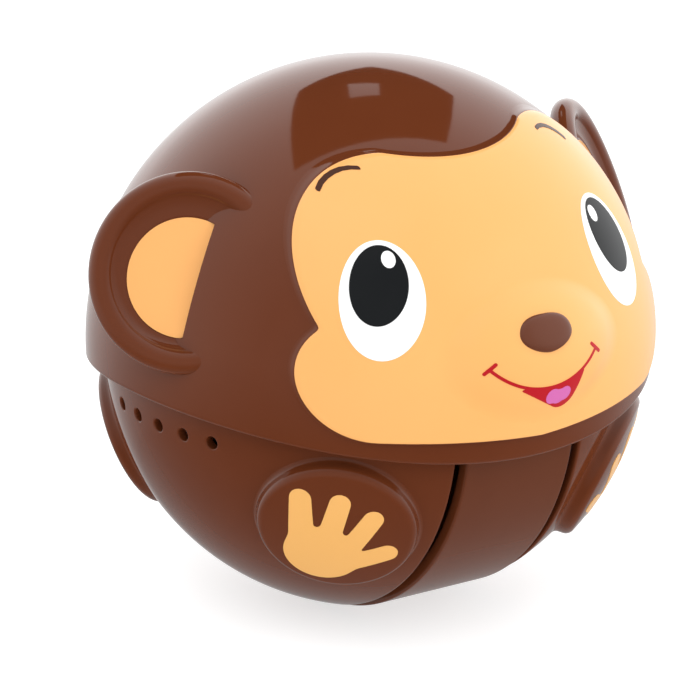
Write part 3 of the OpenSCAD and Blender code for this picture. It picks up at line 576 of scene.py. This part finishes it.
def pod(side):
    name = "left" if side > 0 else "right"
    cols, rows = 600, 170
    turn = np.linspace(0, 2 * math.pi, cols, endpoint=False)
    end = math.acos((POD_FACE + POD_BEVEL) / BODY_R)
    rings = [(BODY_R * math.cos(end * t), BODY_R * math.sin(end * t)) for t in np.linspace(0, 1, rows)]
    edge = math.sqrt(BODY_R ** 2 - (POD_FACE + POD_BEVEL) ** 2)
    for a in np.radians((22.5, 45, 67.5, 90)):
        rings.append((POD_FACE + POD_BEVEL * (1 - math.sin(a)), edge - POD_BEVEL * (1 - math.cos(a))))
    inner = math.sqrt(POD_IN ** 2 - POD_FACE ** 2)
    rings += [(POD_FACE, inner + 0.2), (POD_FACE + 0.1, inner), (POD_FACE + 1.0, inner - 0.1)]
    rings += [(POD_FACE + 4, inner - 1.2)]
    x = np.array([r[0] for r in rings])[:, None] + 0 * turn
    y = np.array([r[1] for r in rings])[:, None] * np.cos(turn)
    z = np.array([r[1] for r in rings])[:, None] * np.sin(turn)
    points = np.stack([x * side, y, z], -1).reshape(-1, 3)
    value = points[:, 2] - POD_TOP
    faces = quads(len(rings), cols, around=True)
    if side < 0:
        faces = faces[:, ::-1]
        for way, across in sound_holes():
            off = np.hypot(points @ across, points[:, 2] - HOLE_Z)
            value = np.maximum(value, np.where(points @ way > 0, HOLE_R + 0.35 - off, -1.0))
    points, faces = clip(points, value, faces)
    piece("pod_" + name, points + BODY, faces, "chassis", BROWN, "brown_shell",
          stands_for=(name + "_pod_shell",))


def sound_hole(number, way, across):
    """The rounded edge and the wall of one hole."""
    turn = np.linspace(0, 2 * math.pi, 48, endpoint=False)
    rings = []
    for wide, sink in ((0.38, 0.0), (0.22, 0.04), (0.1, 0.13), (0.03, 0.27), (0.0, 0.45), (0.0, 1.2),
                       (0.0, 2.4)):
        u, v = (HOLE_R + wide) * np.cos(turn), (HOLE_R + wide) * np.sin(turn) + HOLE_Z
        out = np.sqrt(BODY_R ** 2 - u ** 2 - v ** 2) - sink
        rings.append(np.outer(out, way) + np.outer(u, across) + np.outer(v, (0, 0, 1)))
    piece("sound_hole_%d" % number, np.concatenate(rings) + BODY, quads(len(rings), 48, around=True)[:, ::-1],
          "chassis", BROWN, "brown_shell")


def pad(name, lon, side):
    """A raised round pad. Returns the surface on it that a print lies on."""
    # its axis, the way across it towards the roller, and the way up it
    lon = math.radians(lon)
    way = direction(lon, math.radians(PAD_LAT))
    east = np.array([math.cos(lon), math.sin(lon), 0.0])
    north = np.cross(way, east)
    flip = np.array([side, 1, 1])
    way, inward, north = way * flip, -east * np.sign(east[0]) * flip, north * np.sign(north[2]) * flip
    count = 240
    turn = np.linspace(0, 2 * math.pi, count, endpoint=False)
    flat = PAD_R - PAD_EDGE
    rings = [(r, PAD_TOP) for r in np.linspace(0, flat, 60)]
    for a in np.radians(np.linspace(0, 82, 12)[1:]):
        rings.append((flat + PAD_EDGE * math.sin(a), PAD_TOP - PAD_EDGE * (1 - math.cos(a))))
    for out, sink in ((0.1, 2.0), (0.22, 2.5), (0.5, 2.85), (0.95, 3.02), (1.4, 3.2)):
        rings.append((PAD_R + out, PAD_TOP - sink))
    rows = []
    for r, top in rings:
        out = math.sqrt(top ** 2 - r ** 2)
        rows.append(way * out + np.outer(r * np.cos(turn), inward) + np.outer(r * np.sin(turn), north))
    faces = quads(len(rings), count, around=True)
    if np.cross(inward, north) @ way < 0:
        faces = faces[:, ::-1]
    piece("pad_" + name, np.concatenate(rows) + BODY, faces[:, ::-1], "chassis", BROWN, "brown_shell")

    def on_pad(u, v, height):
        r = PAD_TOP + height
        out = np.sqrt(r ** 2 - u ** 2 - v ** 2)
        at = np.multiply.outer(out, way) + np.multiply.outer(u, inward) + np.multiply.outer(v, north)
        return BODY + at, at / r

    return on_pad


def hand(u, v):
    """A left-hand print: x towards the roller and y upwards."""
    palm = circle(u, v, (-3.2, -5.4), 8.2)
    fingers = [egg(u, v, (-7.2, -2), 2.9, (-7.0, 10.0), 2.4), egg(u, v, (-2.5, -4), 2.6, (1.5, 9.4), 2.3),
               egg(u, v, (1, -6), 2.4, (8.4, 5.2), 2.2), egg(u, v, (0, -8.5), 2.6, (10.8, -4.8), 2.3)]
    shape = palm
    for finger in fingers:
        shape = blend(shape, finger, 0.9)
    return shape


def foot(u, v):
    sole = egg(u, v, (-1, -8), 5.4, (0.5, 1), 5.2)
    toes = [egg(u, v, (-3.5, 2), 2.2, (-6.6, 9), 2), egg(u, v, (-0.5, 3), 2.2, (-1.2, 11.2), 2),
            egg(u, v, (2.5, 2.5), 2.2, (4, 10.4), 2), egg(u, v, (3, -3), 2.5, (9.6, 4), 2.3)]
    shape = sole
    for toe in toes:
        shape = blend(shape, toe, 0.9)
    return shape


def pads():
    for side, name in ((1, "left"), (-1, "right")):
        for kind, shape, lon in (("hand", hand, PAD_LON), ("foot", foot, 180 - PAD_LON)):
            top = pad(kind + "_" + name, lon, side)
            film(kind + "_print_" + name, shape, (-14, -15), (14, 14), 0.35, top, 0.12, "chassis",
                 CREAM_PAINT, "cream_paint", stands_for=(kind + "_prints",) if side > 0 else ())


def roller():
    tread, half, hoop, bevel = 56.1, 14.1, 2.6, 0.55
    bore, hub, hub_half, web_half = 12.06, 14.6, 16.0, 1.3
    inside = tread - hoop
    left = [(bore, hub_half), (hub, hub_half), (hub, web_half), (inside, web_half), (inside, half - 0.3),
            (inside + 0.2, half), (tread - 0.9, half)]
    for a in np.radians(np.arange(0, 91, 15)):
        left.append((tread - bevel + bevel * math.sin(a), half - bevel * (1 - math.cos(a))))
    # down one side, straight across the tread and back up the other side
    profile = [(r, -x) for r, x in left]
    profile += [(tread, x) for x in np.linspace(-half + 1.2, half - 1.2, 24)]
    profile = np.array(profile + left[::-1])
    turn = np.linspace(0, 2 * math.pi, 480, endpoint=False)
    x = profile[:, 1][:, None] + 0 * turn
    y = profile[:, 0][:, None] * np.cos(turn)
    z = profile[:, 0][:, None] * np.sin(turn)
    points = np.stack([x, y, z], -1).reshape(-1, 3) + BODY
    made = piece("roller", points, quads(len(profile), len(turn), around=True)[:, ::-1], "roller",
                 TREAD, "brown_tread", stands_for=("drive_wheel",))
    made.data.set_sharp_from_angle(angle=math.radians(40))


head_shell()
for s in (1, -1):
    ear_wall(s)
    ear(s)
    pod(s)
for i, (way, across) in enumerate(sound_holes()):
    sound_hole(i + 1, way, across)
face()
features()
pads()
roller()


# ---------- floor, light and camera ----------

def stage_plane(name, corners, surface, seen=True):
    """A flat stage piece; one that isn't seen shows only in reflections."""
    mesh = bpy.data.meshes.new(name)
    mesh.from_pydata([tuple(c) for c in corners], [], [tuple(range(len(corners)))])
    mesh.materials.append(surface)
    made = bpy.data.objects.new(name, mesh)
    bpy.context.scene.collection.objects.link(made)
    made.visible_camera = seen
    return made


def plain(name, colour, rough=0.6, glow=0.0):
    made = bpy.data.materials.new(name)
    made.use_nodes = True
    shader = made.node_tree.nodes["Principled BSDF"]
    shader.inputs["Base Color"].default_value = colour
    shader.inputs["Roughness"].default_value = rough
    shader.inputs["Specular IOR Level"].default_value = 0.1
    shader.inputs["Emission Color"].default_value = (1, 1, 1, 1)
    shader.inputs["Emission Strength"].default_value = glow
    return made


FLOOR_HALF = 6
floor = stage_plane(
    "floor", [(x * FLOOR_HALF, y * FLOOR_HALF, 0) for x, y in ((-1, -1), (1, -1), (1, 1), (-1, 1))],
    plain("floor_white", (0.5, 0.5, 0.5, 1), glow=0.68))
floor.visible_glossy = False

# A white room that is brighter behind the toy than in front of it, and darker below
world = bpy.data.worlds.new("studio")
bpy.context.scene.world = world
world.use_nodes = True
room = world.node_tree
look = room.nodes.new("ShaderNodeTexCoord").outputs["Generated"]
levels = []
for way, low, high, dark, light in (
        ((0.585, 0.811, 0.0), -0.7, 0.6, 0.42, 1.6),
        ((0.0, 0.0, 1.0), -0.5, 0.05, 0.24, 1.0)):
    along = room.nodes.new("ShaderNodeVectorMath")
    along.operation = "DOT_PRODUCT"
    along.inputs[1].default_value = way
    room.links.new(look, along.inputs[0])
    level = room.nodes.new("ShaderNodeMapRange")
    for key, value in (("From Min", low), ("From Max", high), ("To Min", dark), ("To Max", light)):
        level.inputs[key].default_value = value
    room.links.new(along.outputs["Value"], level.inputs["Value"])
    levels.append(level.outputs["Result"])
both = room.nodes.new("ShaderNodeMath")
both.operation = "MULTIPLY"
room.links.new(levels[0], both.inputs[0])
room.links.new(levels[1], both.inputs[1])
room.nodes["Background"].inputs["Color"].default_value = (1, 1, 1, 1)
room.links.new(both.outputs["Value"], room.nodes["Background"].inputs["Strength"])
bpy.context.scene.view_settings.view_transform = "Standard"

AZ, EL, ROLL = math.radians(-35.8), math.radians(18.2), math.radians(0.6)
BACK = np.array([math.sin(AZ) * math.cos(EL), -math.cos(AZ) * math.cos(EL), math.sin(EL)])
SIDE = np.array([math.cos(AZ), math.sin(AZ), 0.0])
UP = np.cross(BACK, SIDE)
SIDE, UP = SIDE * math.cos(ROLL) + UP * math.sin(ROLL), UP * math.cos(ROLL) - SIDE * math.sin(ROLL)


def area(name, toward, distance, width, height, power):
    """A softbox: toward is (azimuth, elevation) of the light from the toy, in degrees from the front."""
    light = bpy.data.lights.new(name, "AREA")
    light.shape = "RECTANGLE"
    light.size, light.size_y = width, height
    light.energy = power
    made = bpy.data.objects.new(name, light)
    bpy.context.scene.collection.objects.link(made)
    a, e = (math.radians(v) for v in toward)
    way = Vector((math.sin(a) * math.cos(e), -math.cos(a) * math.cos(e), math.sin(e)))
    made.visible_glossy = False
    made.location = Vector(HEAD * MM) + way * distance
    made.rotation_mode = "QUATERNION"
    made.rotation_quaternion = way.to_track_quat("Z", "Y")
    return made


area("key", (-50, 50), 1.3, 1.0, 1.0, 8.2)
area("fill", (30, 20), 1.3, 0.9, 0.9, 5)

# The dark ceiling panel and the small lamp in it, seen only as reflections
ROOF = 0.5
panel = [(-0.36, 0.26), (0.49, -0.01), (1.08, 0.72), (1.29, 1.80), (0.39, 1.21)]
lamp = [(0.33, 0.64), (0.475, 0.59), (0.66, 0.85), (0.53, 0.94)]
for name, corners, height, surface in (
        ("ceiling_panel", panel, ROOF, plain("panel_dark", (0.01, 0.008, 0.007, 1))),
        ("ceiling_lamp", lamp, ROOF * 0.98, plain("lamp_glow", (0.01, 0.01, 0.01, 1), glow=1.1))):
    high = HEAD[2] * MM + height
    made = stage_plane(name, [(x * height, y * height, high) for x, y in corners], surface, seen=False)
    made.visible_diffuse = False
    made.visible_shadow = False

camera = bpy.data.cameras.new("camera")
camera.sensor_width = 36
camera.lens = 291.2
seat = bpy.data.objects.new("camera", camera)
bpy.context.scene.collection.objects.link(seat)
place = (HEAD + BACK * 1240 - SIDE * 4.1 - UP * 1.1) * MM
seat.matrix_world = Matrix([
    [SIDE[0], UP[0], BACK[0], place[0]],
    [SIDE[1], UP[1], BACK[1], place[1]],
    [SIDE[2], UP[2], BACK[2], place[2]],
    [0, 0, 0, 1],
])
camera.clip_start, camera.clip_end = 0.05, 20
bpy.context.scene.camera = seat
